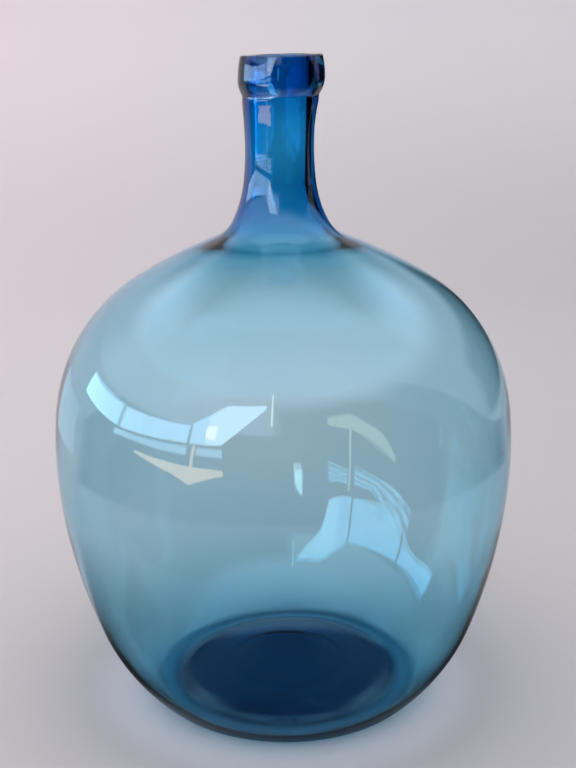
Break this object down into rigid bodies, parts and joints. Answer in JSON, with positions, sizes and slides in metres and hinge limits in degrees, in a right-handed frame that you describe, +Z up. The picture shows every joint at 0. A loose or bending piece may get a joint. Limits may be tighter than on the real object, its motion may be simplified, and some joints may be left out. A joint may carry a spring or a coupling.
{
  "type": "glass carboy",
  "caption": "Hand-blown blue glass carboy with a rounded body, a slim waisted neck and a thick applied lip, for fermenting and storing wine or beer.",
  "frame": {"origin": "middle of the plane that the foot stands on, on the axis of revolution", "axes": "+Z up along the axis of revolution, towards the mouth"},
  "size_m": [0.396, 0.396, 0.56],
  "materials": {
    "blown_glass": "clear petrol-blue glass, smooth, with faint waves and seeds",
    "lip_glass": "the same glass, thicker and so darker, fire-polished"
  },
  "bodies": {
    "root": {"vessel": "blown_glass", "lip_collar": "lip_glass"}
  },
  "joints": []
}
